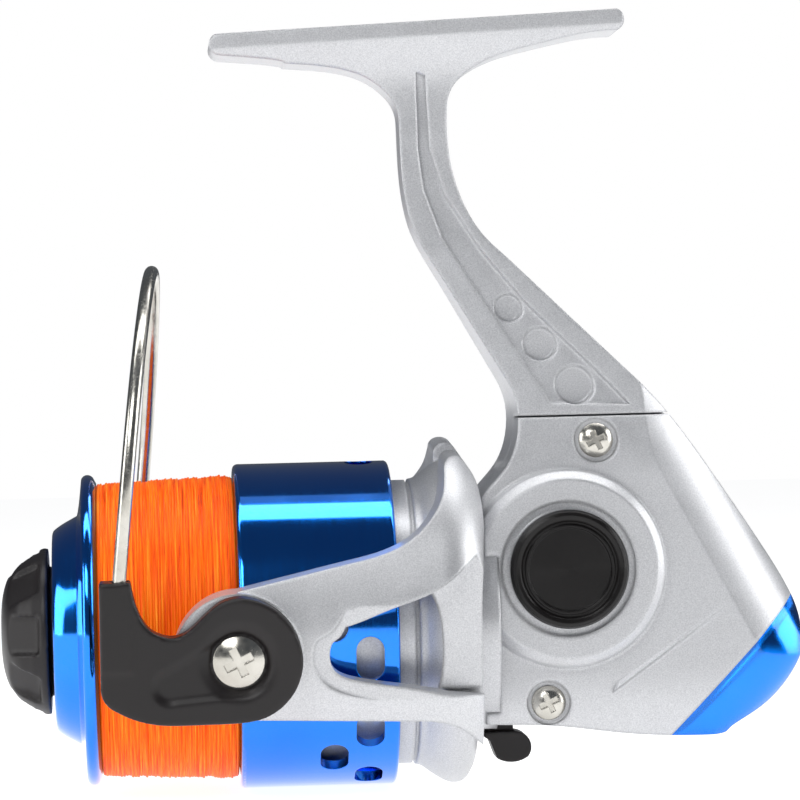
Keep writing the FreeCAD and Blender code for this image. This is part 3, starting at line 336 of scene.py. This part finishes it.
def make_lever():
    """Bail lever with rounded edges and a drop-shaped dish beside the screw."""
    piece = soft_copy("bail_lever", "bail_lever_moulding", "bail", "black_plastic",
                      voxel=0.0003, passes=5)
    low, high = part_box("bail_screw_near")
    screw = (low + high) / 2
    joints = frame["record"]["behaviour"]["joints"]
    bail_joint = next(joint for joint in joints if joint["name"] == "bail_open")
    outward = Vector(bail_joint["axis"]).normalized()
    up = outward.cross(Vector((1, 0, 0)))
    if up.z < 0:
        up = -up
    face = max((vertex.co - screw).dot(outward) for vertex in piece.data.vertices)
    for vertex in piece.data.vertices:
        offset = vertex.co - screw
        if vertex.normal.dot(outward) < FACE_FACING or offset.dot(outward) < face - FACE_BAND:
            continue
        vertex.co -= outward * dish_depth(offset.x, offset.dot(up))


make_lever()
soft_copy("drag_knob", "drag_knob_moulding", "drag_adjuster", "black_plastic",
          voxel=0.0003, passes=3)
soft_copy("anti_reverse_lever", "stop_lever_moulding", "stop_lever", "black_plastic",
          voxel=0.0002, passes=3)


# ---- wound line ----
STRAND_PITCH = 0.00042
STRAND_STEPS = 5           # profile points across one strand
STRAND_SINK = 0.00022      # deepest a strand may lie below the outline
STRAND_GROOVE = 0.00013    # depth of the groove between two strands
STRAND_WAVE = 0.00006      # height of the waves along a strand
WAVES_PER_TURN = 3
WINDING_CLEARANCE = 0.00003
WINDING_BORE_SHARE = 0.6   # bore radius as a share of the middle radius
WINDING_TURN_STEPS = 220
WINDING_SEED = 11


def winding_profile():
    """Outer radius of the CAD winding along X, as a list of (x, radius)."""
    mesh = nodes["line_winding"].data
    points = {}
    for vertex in mesh.vertices:
        x = round(vertex.co.x, 5)
        radius = math.hypot(vertex.co.y, vertex.co.z - SPOOL_AXIS_Z)
        points[x] = max(points.get(x, 0.0), radius)
    return sorted(points.items())


def radius_at(profile, x):
    """Radius of the outline at x, between its two nearest points."""
    for (x0, r0), (x1, r1) in zip(profile, profile[1:]):
        if x0 <= x <= x1:
            return r0 + (r1 - r0) * (x - x0) / max(x1 - x0, 1e-9)
    return profile[-1][1]


def make_winding():
    """Line on the spool: strands side by side, each with its own height and small waves."""
    rng = random.Random(WINDING_SEED)
    profile = winding_profile()
    x_low, x_high = profile[0][0], profile[-1][0]
    strands = int((x_high - x_low) / STRAND_PITCH)
    pitch = (x_high - x_low) / strands
    sinks = [rng.random() ** 2 * STRAND_SINK for _ in range(strands + 1)]
    phases = [rng.random() * math.tau for _ in range(strands + 1)]
    inner = WINDING_BORE_SHARE * profile[len(profile) // 2][1]
    rings = [(x_low, inner, 0, 0.0)]
    for index in range(strands):
        for step in range(STRAND_STEPS):
            share = step / STRAND_STEPS
            rings.append((x_low + (index + share) * pitch, None, index, share))
    rings.append((x_high, None, strands, 0.0))
    rings.append((x_high, inner, strands, 0.0))
    vertices = []
    for x, radius, strand, share in rings:
        outer = radius_at(profile, x) - WINDING_CLEARANCE
        groove = STRAND_GROOVE * (1.0 - math.sqrt(max(0.0, 1.0 - (2 * share - 1) ** 2)))
        for k in range(WINDING_TURN_STEPS):
            angle = math.tau * k / WINDING_TURN_STEPS
            wave = STRAND_WAVE * (1 + math.sin(angle * WAVES_PER_TURN + phases[strand]))
            r = radius if radius else outer - sinks[strand] - groove - wave
            vertices.append((x, r * math.sin(angle), SPOOL_AXIS_Z + r * math.cos(angle)))
    faces = []
    count = WINDING_TURN_STEPS
    for ring in range(len(rings)):
        following = (ring + 1) % len(rings)
        for k in range(count):
            after = (k + 1) % count
            faces.append((ring * count + k, ring * count + after, following * count + after,
                          following * count + k))
    mesh = bpy.data.meshes.new("wound_line")
    mesh.from_pydata(vertices, [], faces)
    mesh.polygons.foreach_set("use_smooth", [True] * len(faces))
    piece = bpy.data.objects.new("wound_line", mesh)
    bpy.context.scene.collection.objects.link(piece)
    paint(piece, "nylon_line")
    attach(piece, "spool_unit")
    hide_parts("line_winding")


make_winding()


# ---- studio ----
ROOM_LIGHT = 0.10
FLOOR_GLOW = 0.93
FLOOR_GAP = 0.0005         # room between the object and the floor
FLOOR_HALF = 2.0
LIGHT_TARGET = Vector((0.0, 0.0, -0.07))
CAMERA_TARGET = Vector((-0.0035, 0.0, -0.0566))
CAMERA_DISTANCE = 0.60
CAMERA_AZIMUTH = math.radians(-3.6)
CAMERA_ROLL = math.radians(-1.43)
SENSOR_WIDTH = 36.0        # millimetres
FRAME_WIDTH = 0.12085      # width of the view at the target


def add_floor():
    """Pale floor that glows evenly, so that it runs into the white surroundings without an edge."""
    z = OBJECT_LOW.z - FLOOR_GAP
    half = FLOOR_HALF
    corners = [(-half, -half, z), (half, -half, z), (half, half, z), (-half, half, z)]
    mesh = bpy.data.meshes.new("floor")
    mesh.from_pydata(corners, [], [(0, 1, 2, 3)])
    floor = bpy.data.objects.new("floor", mesh)
    bpy.context.scene.collection.objects.link(floor)
    g = Graph("floor_paper")
    g.color(g.noise(30), [(0.3, grey(0.42)), (0.7, grey(0.46))])
    g.set(Roughness=1.0, Specular_IOR_Level=0.0)
    g.set(Emission_Color=(1.0, 1.0, 1.0, 1.0), Emission_Strength=FLOOR_GLOW)
    mesh.materials.append(g.material)


def add_light(name, place, size, power):
    """White area lamp of size (width, height), turned to the object."""
    data = bpy.data.lights.new(name, "AREA")
    data.shape = "RECTANGLE"
    data.size = size[0]
    data.size_y = size[1]
    data.energy = power
    light = bpy.data.objects.new(name, data)
    light.location = place
    light.rotation_euler = (LIGHT_TARGET - Vector(place)).to_track_quat("-Z", "Y").to_euler()
    bpy.context.scene.collection.objects.link(light)


def add_world():
    """Dim room all round, so that polished parts have something dark to reflect, and a white
    background for the view itself."""
    world = bpy.data.worlds.new("studio")
    world.use_nodes = True
    tree = world.node_tree
    room = tree.nodes["Background"]
    room.inputs["Color"].default_value = (0.80, 0.88, 1.0, 1.0)
    room.inputs["Strength"].default_value = ROOM_LIGHT
    sky = tree.nodes.new("ShaderNodeBackground")
    sky.inputs["Color"].default_value = (1.0, 1.0, 1.0, 1.0)
    sky.inputs["Strength"].default_value = 1.0
    rays = tree.nodes.new("ShaderNodeLightPath")
    mix = tree.nodes.new("ShaderNodeMixShader")
    tree.links.new(rays.outputs["Is Camera Ray"], mix.inputs[0])
    tree.links.new(room.outputs[0], mix.inputs[1])
    tree.links.new(sky.outputs[0], mix.inputs[2])
    tree.links.new(mix.outputs[0], tree.nodes["World Output"].inputs["Surface"])
    bpy.context.scene.world = world


def add_camera():
    data = bpy.data.cameras.new("camera")
    data.sensor_width = SENSOR_WIDTH
    data.lens = SENSOR_WIDTH * CAMERA_DISTANCE / FRAME_WIDTH
    data.clip_start = 0.01
    camera = bpy.data.objects.new("camera", data)
    offset = Vector((math.sin(CAMERA_AZIMUTH), -math.cos(CAMERA_AZIMUTH), 0.0)) * CAMERA_DISTANCE
    aim = (-offset).to_track_quat("-Z", "Y").to_matrix().to_4x4()
    aim.translation = CAMERA_TARGET + offset
    camera.matrix_world = aim @ Matrix.Rotation(CAMERA_ROLL, 4, "Z")
    bpy.context.scene.collection.objects.link(camera)
    bpy.context.scene.camera = camera


add_floor()
add_world()
add_light("key", (-0.30, -0.62, 0.42), (0.45, 0.30), 2.6)
add_light("overhead", (0.0, 0.0, 0.60), (1.1, 0.20), 3.0)
add_light("left", (-0.75, -0.20, 0.05), (0.30, 0.60), 2.2)
add_light("right", (0.75, -0.10, 0.12), (0.40, 0.60), 3.0)
add_light("rear_top", (0.35, 0.30, 0.50), (0.40, 0.30), 1.2)
add_camera()
bpy.context.scene.view_settings.view_transform = "Standard"
